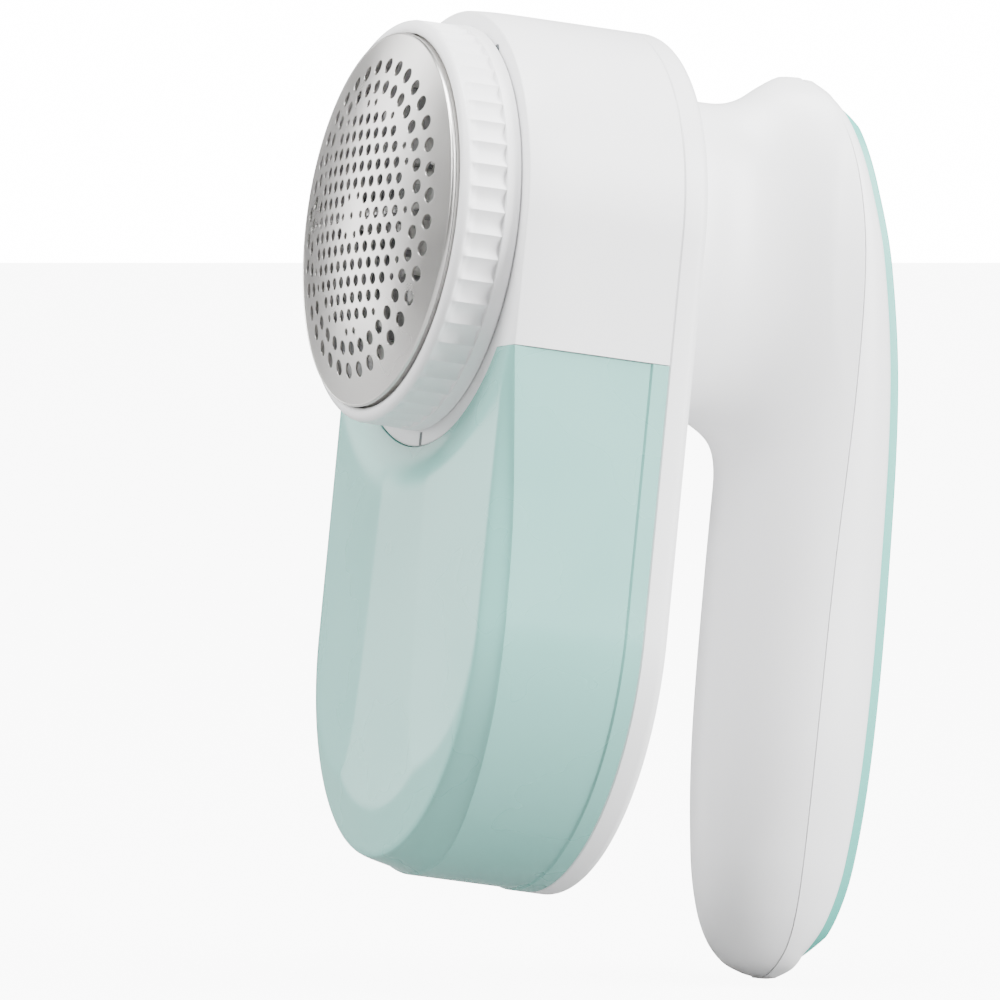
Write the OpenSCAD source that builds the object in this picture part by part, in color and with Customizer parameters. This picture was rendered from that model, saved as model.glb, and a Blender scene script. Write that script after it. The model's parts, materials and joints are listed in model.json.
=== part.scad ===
/* [Head] */
// Diameter of the foil at its rim
foil_d = 57; // [55:0.5:57.5]
// Height of the foil's dome in front of its rim
foil_dome = 4.3; // [3.5:0.1:5]
// Sheet thickness of the foil
foil_t = 0.35; // [0.3:0.05:0.5]
// Outer diameter of the fluted head ring
ring_d = 62.2; // [62:0.1:63]
// Number of flutes round the head ring
flute_count = 54; // [36:6:72]
// Width of the head body
head_w = 67.6; // [67.4:0.1:70]
// Depth of the head body from its back to the face of its boss
head_depth = 30; // [29.5:0.1:30.5]
// Height of the head's axis above the tip of the handle
axis_h = 107.4; // [107:0.1:108]
// Diameter of the cutter disc
cutter_d = 48; // [44:0.5:50]
// Number of cutter blades
blade_count = 6; // [3:1:8]

/* [Catcher] */
// Depth of the seam between the head's casings and its rear frame
frame_depth = 4.4; // [4.2:0.1:4.8]
// Distance from the head's axis down to the catcher's mouth
mouth_drop = 19.8; // [19:0.1:20.5]
// Distance from the head's axis down to the bottom of the catcher
catcher_drop = 98.8; // [96:0.5:100]
// Height of the round part at the bottom of the catcher
catcher_round = 37.7; // [34:0.1:40]
// Wall thickness of the catcher
catcher_wall = 1.8; // [1.5:0.1:2]

/* [Handle] */
// Wall thickness of the handle's shells
handle_wall = 1.9; // [1.6:0.1:2]
// Travel of the power switch from off to the second speed
switch_travel = 7; // [5:0.5:8]
// Diameter of each AA cell
cell_d = 14.2; // [13.5:0.1:14.5]
// Length of each AA cell
cell_l = 50.5; // [49.5:0.5:50.5]

/* [Hidden] */
$fn = 72;
fine = 240;
eps = 0.01;
gap = 0.3;
touch = 0.1;

// Head space has its origin on the head's axis at the back of the head, with z forward.
head_r = head_w / 2;
foil_r = foil_d / 2;
ring_r = ring_d / 2;
boss_r = head_r - 0.5;
rim_z = head_depth + 10.6;
ring_z = head_depth + 0.2;
ring_l = 9.4;
lip_l = 1.6;
sphere_r = (foil_r * foil_r + foil_dome * foil_dome) / (2 * foil_dome);
sphere_z = rim_z + foil_dome - sphere_r;
flange_z = rim_z - 4;
flange_r = foil_r + 1.1;
shell_wall = 2;
boss_t = 3;
collar_in = 27;
collar_out = 29.3;
collar_top = flange_z - 0.5;
round_y = catcher_round - catcher_drop;

// Foil holes: two staggered rings of large holes round a hexagonal field.
ring_holes = 36;
outer_ring = [23.4, 2.4];
second_ring = [20.1, 2.2];
field_pitch = 2.9;
field_hole = 1.8;
field_r = 16.5;
small_hole = 1.15;
small_r = 17.8;
eye_r = 3.45;
field_rows = 7;

// Cutter stack
disc_z = 32.4;
disc_t = 2;
hub_z = 28;
hub_r = 5;
spindle = 4.4;
socket = 4.6;
blade_t = 0.35;
blade_gap = 0.35;
blade_in = 2.6;
blade_out = cutter_d / 2 - 1.6;
window_in = 0.64 * cutter_d / 2;
window_out = cutter_d / 2 - 2.2;
window_half = 0.3 * cutter_d / 2;

// Drive
shaft_r = 1;
motor_r = 10.2;
motor_l = 25;
motor_boss_r = 3;
plate_z = 18.5;
plate_t = 2;
plate_r = collar_out - touch;
motor_front = plate_z - touch;
collar_back = plate_z + plate_t + touch;
screw_r = 1.1;
screw_hole = 1.2;
screw_head_r = 2.1;
housing_screw_x = 25;
housing_screw_y = 12;
housing_post_r = 2.3;
lip_top = 8.3;
motor_screw_x = 6.5;

// Shallow recess for the rating label, on the back of the head
label_size = [34, 40];
label_at = -60;
label_depth = 0.4;

// Safety plunger
plunger_angle = 60;
plunger_at = 30.55;
plunger_r = 0.8;
plunger_z = 18.6;

// Handle profiles, each a list of [height, value]: front, parting line, back and half-widths
front_y = [[0.3, 31.6], [2, 28.4], [5, 25.7], [10, 23.7], [18, 22.3], [35, 21.2], [60, 20.8],
    [90, 20.9], [110, 20.9], [122, 20.6], [130, 20.3], [135, 20.8], [137.6, 22.8]];
part_y = [[0.3, 34.3], [2, 34.4], [5, 34.7], [10, 34.5], [18, 33.9], [35, 33.0], [60, 32.8],
    [90, 33.3], [110, 33.0], [122, 31.9], [130, 30.2], [135, 27.8], [137.6, 25.8]];
back_y = [[0.3, 36.8], [2, 39.0], [5, 41.0], [10, 42.8], [18, 44.1], [35, 44.9], [60, 44.7],
    [90, 43.3], [110, 40.3], [122, 37.1], [130, 34.3], [135, 31.5], [137.6, 28.6]];
half_w = [[0.3, 2.8], [2, 6.2], [5, 8.9], [10, 11.5], [18, 13.9], [35, 16.6], [60, 17.5],
    [90, 18.2], [110, 17.6], [122, 15.2], [130, 11.8], [135, 8], [137.6, 3.6]];
strip_w = [[4, 3.4], [8, 7.2], [16, 10.4], [30, 12.6], [50, 13.7], [90, 14.2], [110, 13.8],
    [120, 12.4], [127, 10.6], [132, 8], [135, 4.6]];
strip_edge = 1.2;
strip_crown = 1.6;
strip_full_w = 14;
strip_gap = 0.3;
strip_t = 1.2 - strip_gap;
handle_z0 = 0.3;
handle_z1 = 137.6;
strip_z0 = 4;
strip_z1 = 135;
pocket_heights = [9, 14, 22, 40, 60, 80, 98, 112, 121, 127];

// Cells, board and power switch inside the handle
cell_x = 7.35;
cell_y = 32.4;
cell_z = 35.5;
nub_r = 2.7;
nub_l = 1;
board_y = 31.6;
board_z = 110;
board_l = 24;
board_t = 1.2;
switch_z = 104;
switch_w = 8;
switch_h = 13;
knob_l = 9;
knob_w = 6.4;
post_r = 2.8;
post_end = 31;
// Handle screws, each as [x, height, start of its post, seat of its head]
handle_screws_at = [[0, 24, 23, 38], [0, 127, 22.2, 31.2], [-9.4, 94, 24.4, 36], [9.4, 94, 24.4, 36]];
handle_screw_l = 8;

// ---------- shared geometry ----------

// Children drawn in head space
module head_space() {
    translate([0, 0, axis_h]) rotate([90, 0, 0]) children();
}

module box_at(centre, size) {
    translate(centre - size / 2) cube(size);
}

// Smooth curve through a list of [height, value]
function index_of(z, list, i = 0) =
    (i >= len(list) - 2 || z < list[i + 1][0]) ? i : index_of(z, list, i + 1);
function slope_at(list, i) =
    let (a = max(i - 1, 0), b = min(i + 1, len(list) - 1))
    (list[b][1] - list[a][1]) / (list[b][0] - list[a][0]);
function curve(z, list) =
    let (i = index_of(z, list), p = list[i], q = list[i + 1], h = q[0] - p[0])
    let (t = min(max((z - p[0]) / h, 0), 1), t2 = t * t, t3 = t2 * t)
    (2 * t3 - 3 * t2 + 1) * p[1] + (t3 - 2 * t2 + t) * h * slope_at(list, i)
    + (3 * t2 - 2 * t3) * q[1] + (t3 - t2) * h * slope_at(list, i + 1);

// Closed solid through rings that hold the same number of points
module loft(rings) {
    n = len(rings[0]);
    points = [for (ring = rings) for (p = ring) p];
    sides = [for (k = [0:len(rings) - 2]) for (i = [0:n - 1]) let (j = (i + 1) % n)
        [k * n + i, k * n + j, (k + 1) * n + j, (k + 1) * n + i]];
    bottom = [for (i = [n - 1:-1:0]) i];
    top = [for (i = [0:n - 1]) (len(rings) - 1) * n + i];
    polyhedron(points, concat([bottom], sides, [top]), convexity = 8);
}

// Outline of the head body, round at the top and elliptical at the bottom
function bottom_arc(inset, n = 32) = [for (i = [0:n]) let (a = 180 + 180 * i / n)
    [(head_r - inset) * cos(a), round_y + (catcher_round - inset) * sin(a)]];
function top_arc(inset, n = 36) = [for (i = [0:n]) let (a = 180 * i / n)
    [(head_r - inset) * cos(a), (head_r - inset) * sin(a)]];
function head_outline(inset) = concat(top_arc(inset), bottom_arc(inset));
function catcher_ring(inset, top, z) = [for (p = concat(bottom_arc(inset),
    [[head_r - inset, top], [inset - head_r, top]])) [-p[0], p[1], z]];

module head_slab(inset, z, h) {
    translate([0, 0, z]) linear_extrude(h) polygon(head_outline(inset));
}

// Coil spring about z, as a swept wire
module coil(mean_r, wire_r, z, length, turns, sides = 6) {
    steps = turns * 12;
    loft([for (k = [0:steps]) let (a = 360 * k / 12, zk = z + length * k / steps)
        [for (s = [0:sides - 1]) let (b = -360 * s / sides)
            [(mean_r + wire_r * cos(b)) * cos(a), (mean_r + wire_r * cos(b)) * sin(a),
                zk + wire_r * sin(b)]]]);
}

// Tube swept through points that advance along y
module lead(points, r, sides = 8) {
    loft([for (p = points) [for (s = [0:sides - 1]) let (b = 360 * s / sides)
        [p[0] + r * cos(b), p[1], p[2] - r * sin(b)]]]);
}

// ---------- head ----------

module foil_holes() {
    for (k = [0:ring_holes - 1]) {
        rotate(360 / ring_holes * (k + 0.5)) translate([outer_ring[0], 0]) circle(d = outer_ring[1]);
        rotate(360 / ring_holes * k) translate([second_ring[0], 0]) circle(d = second_ring[1]);
    }
    circle(d = small_hole);
    for (k = [0:5]) rotate(60 * k) translate([eye_r, 0]) circle(d = small_hole);
    for (row = [-field_rows:field_rows]) for (col = [-field_rows:field_rows]) {
        x = (col + (abs(row) % 2) / 2) * field_pitch;
        y = row * field_pitch * sin(60);
        r = norm([x, y]);
        if (r > eye_r && r <= field_r) translate([x, y]) circle(d = field_hole);
        if (r > field_r && r <= small_r) translate([x, y]) circle(d = small_hole);
    }
}

module foil() {
    color("#eceae8") head_space() difference() {
        rotate_extrude($fn = fine) {
            intersection() {
                translate([0, sphere_z]) difference() {
                    circle(r = sphere_r, $fn = 720);
                    circle(r = sphere_r - foil_t, $fn = 720);
                }
                translate([0, rim_z - foil_t]) square([foil_r, foil_dome + 1]);
            }
            translate([foil_r - foil_t, flange_z]) square([foil_t, rim_z - flange_z]);
            translate([foil_r - foil_t, flange_z]) square([flange_r - foil_r + foil_t, foil_t]);
        }
        translate([0, 0, rim_z - 1]) linear_extrude(foil_dome + 3) foil_holes();
    }
}

// Union ring that clamps the foil's flange; its front lip is chamfered and its skirt fluted
module head_ring() {
    front = ring_z + ring_l;
    color("#f2f2f3") head_space() difference() {
        rotate_extrude($fn = fine) polygon([
            [flange_r + gap, ring_z], [ring_r, ring_z], [ring_r, front - 1.2],
            [ring_r - 0.35, front - 0.5], [ring_r - 1.2, front], [foil_r + gap, front],
            [foil_r + gap, front - lip_l], [flange_r + gap, front - lip_l]]);
        for (k = [0:flute_count - 1]) rotate(360 / flute_count * k)
            translate([ring_r + 0.95, 0, ring_z + 2.3]) cylinder(r = 1.25, h = 5.7, $fn = 32);
    }
}

// D-shaped windows between the blades, with a straight inner edge
module disc_windows() {
    for (k = [0:blade_count - 1]) rotate(360 / blade_count * (k + 0.5)) intersection() {
        circle(r = window_out);
        translate([window_in, -window_half]) square([cutter_d, 2 * window_half]);
    }
}

module cutter_disc() {
    color("#f4f4f2") head_space() difference() {
        union() {
            translate([0, 0, disc_z]) linear_extrude(disc_t) difference() {
                circle(d = cutter_d, $fn = fine);
                disc_windows();
            }
            translate([0, 0, hub_z]) cylinder(r = hub_r, h = disc_z + disc_t + 2.5 - hub_z);
            for (k = [0:blade_count - 1]) rotate(360 / blade_count * k) for (r = [8.5, 14, 19.5])
                box_at([r, 0, disc_z + disc_t + 1.4], [2.2, 3, 2.9]);
        }
        for (k = [0:blade_count - 1]) rotate(360 / blade_count * k)
            box_at([cutter_d / 4, 0, disc_z + disc_t + 6], [cutter_d / 2 + 2, blade_t + 0.04, 12.04]);
        box_at([0, 0, hub_z + 2], [socket, socket, 6]);
    }
}

// Radial steel blades whose outer edges follow the inside of the foil
module cutter_blades() {
    color("#a9abad") head_space() intersection() {
        for (k = [0:blade_count - 1]) rotate(360 / blade_count * k) difference() {
            box_at([(blade_in + blade_out) / 2, 0, disc_z + disc_t + 5.02],
                [blade_out - blade_in, blade_t, 10]);
            for (r = [11.2, 16.7]) translate([r, 0, disc_z + disc_t]) rotate([90, 0, 0])
                cylinder(r = 0.9, h = 4, center = true, $fn = 32);
        }
        translate([0, 0, sphere_z]) sphere(r = sphere_r - foil_t - blade_gap, $fn = 360);
    }
}

module cutter_spring() {
    color("#b8b8ba") head_space() coil(4.1, 0.28, 23.75, hub_z - 24.1, 5);
}

module drive_hub() {
    color("#e9e4d6") head_space() difference() {
        union() {
            translate([0, 0, 22.2]) cylinder(r = 6, h = 1.2);
            box_at([0, 0, 26.75], [spindle, spindle, 8]);
        }
        translate([0, 0, 20]) cylinder(r = shaft_r + 0.02, h = 6);
    }
}

module motor_shaft() {
    color("#c4c6c8") head_space() translate([0, 0, motor_front - motor_l - 2.5])
        cylinder(r = shaft_r, h = 25.9 - motor_front + motor_l + 2.5);
}

// Drawn steel can with its front bearing boss
module motor_can() {
    color("#b9bcbf") head_space() difference() {
        union() {
            translate([0, 0, motor_front - motor_l]) cylinder(r = motor_r, h = motor_l);
            translate([0, 0, motor_front]) cylinder(r = motor_boss_r, h = 1.6);
        }
        translate([0, 0, motor_front - motor_l - 1]) cylinder(r = shaft_r + 0.05, h = motor_l + 4);
        for (s = [-1, 1]) translate([s * motor_screw_x, 0, motor_front - 3])
            cylinder(r = screw_r + 0.02, h = 4);
    }
}

module motor_cap() {
    color("#dcd8c8") head_space() difference() {
        union() {
            translate([0, 0, motor_front - motor_l - 2]) cylinder(r = motor_r - 0.6, h = 2);
            for (s = [-1, 1])
                box_at([s * 6, 0, motor_front - motor_l - 3.4], [2.6, 0.5, 3]);
        }
        translate([0, 0, motor_front - motor_l - 3]) cylinder(r = shaft_r + 0.05, h = 4);
    }
}

// Round plate that carries the motor and closes the back of the cutter chamber
module motor_mount() {
    color("#e6e7e8") head_space() difference() {
        translate([0, 0, plate_z]) cylinder(r = plate_r, h = plate_t);
        translate([0, 0, plate_z - 1]) cylinder(r = motor_boss_r + 0.05, h = plate_t + 2);
        for (s = [-1, 1])
            translate([s * motor_screw_x, 0, plate_z - 1]) cylinder(r = screw_hole, h = plate_t + 2);
        at_housing_screws(plate_z - 1) cylinder(r = housing_post_r + 0.1, h = plate_t + 2);
    }
}

module screw(length) {
    cylinder(r = screw_r, h = length);
    difference() {
        translate([0, 0, -1.4]) cylinder(r = screw_head_r, h = 1.4);
        for (a = [0, 90]) rotate(a) box_at([0, 0, -1.3], [2.4, 0.6, 1]);
    }
}

module motor_screws() {
    color("#9fa1a3") head_space() for (s = [-1, 1])
        translate([s * motor_screw_x, 0, plate_z + plate_t + 0.02]) mirror([0, 0, 1]) screw(4.5);
}

// Children drawn on each of the four screws that join the head's casings
module at_housing_screws(z) {
    for (x = [-1, 1]) for (y = [-1, 1]) translate([x * housing_screw_x, y * housing_screw_y, z]) children();
}

// Outline of the head above the catcher's mouth
module housing_outline(r) {
    difference() {
        union() {
            circle(r = r, $fn = fine);
            translate([-r, -mouth_drop]) square([2 * r, mouth_drop]);
        }
        translate([-head_w, -mouth_drop - head_w]) square([2 * head_w, head_w]);
    }
}

// Front shell of the head above the catcher, with the round boss and the chamber collar
module upper_housing() {
    seam = frame_depth + touch;
    plate_back = head_depth - boss_t;
    color("#f3f3f4") head_space() difference() {
        union() {
            translate([0, 0, seam]) linear_extrude(head_depth - seam) housing_outline(head_r);
            translate([0, 0, plate_back]) cylinder(r = boss_r, h = boss_t, $fn = fine);
            translate([0, 0, collar_back]) cylinder(r = collar_out, h = collar_top - collar_back, $fn = fine);
        }
        difference() {
            translate([0, 0, seam - 1]) linear_extrude(plate_back - seam + 1)
                housing_outline(head_r - shell_wall);
            translate([0, 0, collar_back]) cylinder(r = collar_out, h = 20, $fn = fine);
            at_housing_screws(lip_top + 0.2) cylinder(r = housing_post_r, h = 20);
        }
        translate([0, 0, collar_back - 1]) cylinder(r = collar_in, h = 20, $fn = fine);
        at_housing_screws(lip_top - 1) cylinder(r = screw_hole, h = 8);
        box_at([0, -28, plate_back - 4], [30.4, 14, 8]);
        rotate(plunger_angle) translate([plunger_at, 0, collar_back]) cylinder(r = plunger_r + 0.1, h = 12);
        box_at([0, 1 - boss_r, head_depth], [1, 2, 0.8]);
    }
}

module index_mark() {
    color("#5b6063") head_space() box_at([0, 1 - boss_r, head_depth - 0.2], [0.94, 1.94, 0.38]);
}

module safety_plunger() {
    color("#6d7275") head_space() rotate(plunger_angle)
        translate([plunger_at, 0, plunger_z]) cylinder(r = plunger_r, h = ring_z - 0.12 - plunger_z);
}

module plunger_spring() {
    color("#b8b8ba") head_space() rotate(plunger_angle) translate([plunger_at, 0, 0])
        coil(1.02, 0.12, plunger_z + 0.2, 1, 3);
}

module safety_switch() {
    color("#3c4043") head_space() rotate(plunger_angle) box_at([28.2, 0, plunger_z - 3.3], [6.4, 5, 6.2]);
}

// Chute from the bottom of the cutter chamber into the catcher
module lint_duct() {
    color("#e3e6e6") head_space() difference() {
        box_at([0, -28, motor_front + 3.3], [34, 20, 9.9]);
        box_at([0, -28, motor_front + 5], [30.4, 22, 10]);
        translate([0, 0, motor_front]) cylinder(r = collar_out + touch, h = 20, $fn = fine);
    }
}

module lint_catcher() {
    top = -mouth_drop - touch;
    w = catcher_wall;
    color("#b3d6cf") head_space() difference() {
        loft([for (s = [[0, frame_depth + touch], [0, 23], [0.2, 25], [0.8, 26.8], [1.8, 28.4],
            [2.5, 29.6], [3, 30.4], [4, 30.7], [24, 31.9], [27, 31.95]]) catcher_ring(s[0], top, s[1])]);
        loft([for (s = [[w, frame_depth - 1], [w, 22.4], [w + 1, 25.8], [w + 2.4, 27.6],
            [w + 3.6, 28.8], [24, 30.1], [27, 30.15]]) catcher_ring(s[0], top + 5, s[1])]);
        translate([0, 0, head_depth - boss_t - 0.4]) cylinder(r = boss_r + gap, h = 10, $fn = fine);
    }
}

// Rear tray of the head: band, back plate and the lip that the casings fit over
module rear_frame() {
    color("#f6f6f7") head_space() difference() {
        union() {
            hull() {
                head_slab(0, 1.6, frame_depth - 1.6);
                head_slab(0.5, 0.5, 0.5);
                head_slab(1.6, 0, 0.5);
            }
            head_slab(shell_wall + 0.15, 1, lip_top - 1);
        }
        head_slab(shell_wall + 1.7, shell_wall, 20);
        translate([0, 0, -1]) cylinder(r = motor_r + 0.6, h = 8);
        box_at([0, label_at, 0], [label_size[0], label_size[1], 2 * label_depth]);
        at_housing_screws(-1) {
            cylinder(r = screw_head_r + 0.2, h = 2.5);
            cylinder(r = screw_hole, h = 6);
        }
    }
}

module housing_screws() {
    color("#9fa1a3") head_space() at_housing_screws(1.48) screw(12);
}

// ---------- handle ----------

function oval(half_x, low, high, n = 32, p = 0.87) = [for (i = [0:n - 1]) let (a = 360 * i / n)
    [half_x * sign(cos(a)) * pow(abs(cos(a)), p),
        (low + high) / 2 + (high - low) / 2 * sign(sin(a)) * pow(abs(sin(a)), p)]];

function neck_ring(y, half_x, low, high) = [for (p = oval(half_x, low, high)) [p[0], y, p[1]]];

module neck() {
    color("#f3f3f4") difference() {
        loft(concat([for (s = [[0.05, 17, 79.5, 135.2], [1.2, 15, 81.6, 133.8], [3.5, 13.6, 83.2, 132.8],
                [8, 13, 83.8, 132.3], [13, 13, 83.4, 132.4], [17, 12.8, 82, 132.6]])
                neck_ring(s[0], s[1], s[2], s[3])],
            [neck_ring(26, 12.6, 81, 132)]));
        loft([for (z = stations(handle_z0, handle_z1, 18)) front_half(z, -touch, 3)]);
        loft([for (s = [[-1, 11.4, 86, 130], [10, 11.2, 86, 130], [17, 10.4, 86, 129], [30, 10, 86, 128]])
            neck_ring(s[0], s[1], s[2], s[3])]);
    }
}

function front_half(z, inset, over) = let (w = curve(z, half_w) - inset, c = curve(z, part_y))
    let (d = c - curve(z, front_y) - inset, n = 18)
    concat([[w, c + over, z]], [for (i = [0:n]) let (a = 180 * i / n)
        [w * sign(cos(a)) * pow(abs(cos(a)), 0.87), c - d * pow(sin(a), 0.87), z]], [[-w, c + over, z]]);

function stations(z0, z1, n) = [for (i = [0:n]) let (t = i / n)
    z0 + (z1 - z0) * (t - sin(360 * t) / (2.6 * PI))];

// One cylinder per handle screw, from the start of its post or the seat of its head
module at_screws(from, offset, h, r) {
    for (p = handle_screws_at) translate([p[0], p[from] + offset, p[1]])
        rotate([-90, 0, 0]) cylinder(r = r, h = h);
}

// Front half of the handle, up to its parting line
module handle_front() {
    color("#f3f3f4") difference() {
        union() {
            difference() {
                loft([for (z = stations(handle_z0, handle_z1, 18)) front_half(z, 0, -touch / 2)]);
                loft([for (z = stations(8, 132, 12)) front_half(z, handle_wall, 1)]);
            }
            for (p = handle_screws_at) translate([p[0], p[2], p[1]]) rotate([-90, 0, 0])
                cylinder(r = post_r, h = min(post_end, p[3] - 1.6) - p[2]);
        }
        at_screws(3, -handle_screw_l - 0.5, 12, screw_hole);
        translate([0, 15, axis_h]) rotate([-90, 0, 0]) cylinder(r = 5, h = 10);
    }
}

function strip_y(z) = curve(z, back_y) - strip_edge
    - strip_crown * pow(curve(z, strip_w) / strip_full_w, 2);
function crown(z, x) = strip_crown * (1 - pow(x / max(curve(z, strip_w), eps), 2))
    * pow(curve(z, strip_w) / strip_full_w, 2);

// Rear half of the handle; its back carries the land that the battery cover sits on
function rear_half(z, inset, drop, over) = let (w = curve(z, half_w) - inset, c = curve(z, part_y))
    let (s = min(z < strip_z0 || z > strip_z1 ? curve(z, half_w) * 0.45 : curve(z, strip_w),
        curve(z, half_w) * 0.86) - inset / 2)
    let (e = z < strip_z0 || z > strip_z1 ? curve(z, back_y) - 0.5 : strip_y(z))
    let (n = 6)
    concat([[-w, c - over, z], [-w, c + (e - c) * 0.3, z], [-(w + s) / 2 - 0.3, c + (e - c) * 0.62, z]],
        [for (i = [0:n]) let (x = -s + 2 * s * i / n) [x, e - drop + crown(min(max(z, strip_z0), strip_z1), x), z]],
        [[(w + s) / 2 + 0.3, c + (e - c) * 0.62, z], [w, c + (e - c) * 0.3, z], [w, c - over, z]]);

module handle_back() {
    color("#eeeef0") difference() {
        loft([for (z = stations(handle_z0, handle_z1, 18)) rear_half(z, 0, 0, -touch / 2)]);
        loft([for (z = pocket_heights) rear_half(z, handle_wall, handle_wall, 2)]);
        box_at([0, 42, cell_z + 26], [2 * cell_x + cell_d - 3, 12, cell_l + 8]);
        box_at([0, 38, switch_z + switch_travel / 2], [knob_w + 2 * gap, 14, knob_l + switch_travel + 2 * gap]);
        at_screws(3, -6, 8, screw_hole);
        at_screws(3, 0, 12, screw_head_r + 0.25);
    }
}

module handle_screws() {
    color("#9fa1a3") for (p = handle_screws_at)
        translate([p[0], p[3] + 0.02, p[1]]) rotate([90, 0, 0]) screw(handle_screw_l);
}

// Lens-shaped section of the strip on the handle's back, crowned at y and closed by a chord
function strip_ring(z, half_x, y, chord) = let (n = 10)
    concat([for (i = [0:n]) let (x = half_x * (2 * i / n - 1)) [x, y + crown(z, min(abs(x), curve(z, strip_w))), z]],
        [[half_x, chord, z], [-half_x, chord, z]]);

// Curved cover of the cells, whose window lets the power switch through
module battery_cover() {
    color("#93c6be") difference() {
        loft([for (z = stations(strip_z0, strip_z1 - 1, 20)) let (e = strip_y(z) + strip_gap)
            strip_ring(z, curve(z, strip_w), e + strip_t, e - 1)]);
        loft([for (z = stations(strip_z0 - 1, strip_z1, 20)) let (e = strip_y(z) + strip_gap)
            strip_ring(z, curve(z, strip_w) + 1, e, e - 3)]);
        box_at([0, 42, switch_z + switch_travel / 2], [knob_w + 3 * gap, 14, knob_l + switch_travel + 5 * gap]);
    }
}

// Tray that holds the two cells side by side
module cell_tray() {
    len_in = cell_l + 6;
    color("#e3e6e6") difference() {
        box_at([0, 31.25, cell_z + cell_l / 2], [22.8, 8.9, len_in + 2.4]);
        for (s = [-1, 1]) translate([s * cell_x, cell_y, cell_z - 3])
            cylinder(r = cell_d / 2 + 0.1, h = len_in);
    }
}

module cell(x) {
    translate([x, cell_y, cell_z]) {
        cylinder(d = cell_d, h = cell_l - nub_l);
        cylinder(r = nub_r, h = cell_l);
    }
}

module cell_left() {
    color("#5f8f86") cell(-cell_x);
}

module cell_right() {
    color("#5f8f86") translate([0, 0, 2 * cell_z + cell_l]) mirror([0, 0, 1]) cell(cell_x);
}

module cell_springs() {
    color("#c9cacb") translate([-cell_x, cell_y, 0]) coil(3.2, 0.3, cell_z - 2.6, 2.2, 3);
    color("#c9cacb") translate([cell_x, cell_y, 0]) coil(3.2, 0.3, cell_z + cell_l + 0.4, 1.9, 3);
}

module cell_contacts() {
    color("#c9cacb") box_at([-cell_x, cell_y, cell_z + cell_l + 0.3], [9, 4, 0.4]);
    color("#c9cacb") box_at([cell_x, cell_y, cell_z - 0.3], [9, 4, 0.4]);
}

module circuit_board() {
    color("#2f6b4a") box_at([0, board_y, board_z], [22, board_t, board_l]);
}

module switch_body() {
    color("#3c4043") difference() {
        box_at([0, board_y + board_t / 2 + 1.3, switch_z + switch_travel / 2], [switch_w, 2.5, switch_h]);
        box_at([0, board_y + board_t / 2 + 2.4, switch_z + switch_travel / 2], [2.6, 2, switch_travel + 3]);
    }
}

// Thumb slide of the power switch, ribbed, with its stem down to the switch
module switch_knob() {
    top = curve(switch_z + switch_travel, back_y) - 0.2;
    stem_end = board_y + 2.15;
    color("#f0f1f1") {
        difference() {
            box_at([0, top - 1.4, switch_z], [knob_w, 2.8, knob_l]);
            for (k = [-2:2]) translate([0, top + 0.5, switch_z + k * 1.7]) rotate([0, 90, 0])
                cylinder(r = 0.8, h = knob_w + 2, center = true, $fn = 32);
        }
        box_at([0, (top - 2.8 + stem_end) / 2, switch_z], [2, top - 2.78 - stem_end, 2]);
    }
}

red_route = [[-6, 11.7, 107.4], [-5.2, 14.2, 107.6], [-3.4, 17, 108.2], [-2.2, 20, 108.6], [-2, 23, 108.6],
    [-2.6, 26, 109.4], [-4.4, 29, 111], [-5, 30.9, 111.6]];
black_route = [for (p = red_route) [-p[0], p[1], 2 * axis_h - p[2]]];

module lead_red() {
    color("#b5342c") lead(red_route, 0.6);
}

module lead_black() {
    color("#26282a") lead(black_route, 0.6);
}

foil();
head_ring();
cutter_disc();
cutter_blades();
cutter_spring();
drive_hub();
motor_shaft();
motor_can();
motor_cap();
motor_mount();
motor_screws();
upper_housing();
index_mark();
safety_plunger();
plunger_spring();
safety_switch();
lint_duct();
lint_catcher();
rear_frame();
housing_screws();
neck();
handle_front();
handle_back();
handle_screws();
cell_tray();
cell_left();
cell_right();
cell_springs();
cell_contacts();
circuit_board();
switch_body();
switch_knob();
lead_red();
lead_black();
battery_cover();
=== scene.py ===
import json
import math

import bmesh
import bpy
import numpy as np
from mathutils import Matrix, Vector


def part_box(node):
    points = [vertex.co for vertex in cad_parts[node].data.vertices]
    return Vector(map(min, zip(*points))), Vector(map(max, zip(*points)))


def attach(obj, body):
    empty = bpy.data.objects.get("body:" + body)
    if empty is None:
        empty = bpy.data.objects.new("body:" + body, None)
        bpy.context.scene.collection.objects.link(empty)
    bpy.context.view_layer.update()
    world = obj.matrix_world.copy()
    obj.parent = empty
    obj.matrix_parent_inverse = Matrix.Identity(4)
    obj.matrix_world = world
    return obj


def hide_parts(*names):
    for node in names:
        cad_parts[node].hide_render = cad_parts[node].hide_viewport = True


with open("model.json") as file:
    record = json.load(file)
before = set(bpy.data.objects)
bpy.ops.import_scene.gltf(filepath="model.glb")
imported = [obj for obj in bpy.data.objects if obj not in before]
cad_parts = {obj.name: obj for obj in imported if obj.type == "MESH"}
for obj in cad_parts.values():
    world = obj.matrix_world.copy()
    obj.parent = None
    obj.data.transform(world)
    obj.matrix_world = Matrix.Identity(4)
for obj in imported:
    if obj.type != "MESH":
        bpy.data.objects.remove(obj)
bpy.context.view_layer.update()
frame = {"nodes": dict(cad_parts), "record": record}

MM = 0.001


# ---------- where things are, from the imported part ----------

def corners(node):
    """Lowest and highest corner of a node's box, in millimetres."""
    low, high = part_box(node)
    return np.array(low) / MM, np.array(high) / MM


foil_high = corners("foil")[1]
frame_low, frame_high = corners("rear_frame")
ring_low, ring_high = corners("head_ring")
front_low, front_high = corners("handle_front")
catcher_high = corners("lint_catcher")[1]
knob_low, knob_high = corners("switch_knob")

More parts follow.
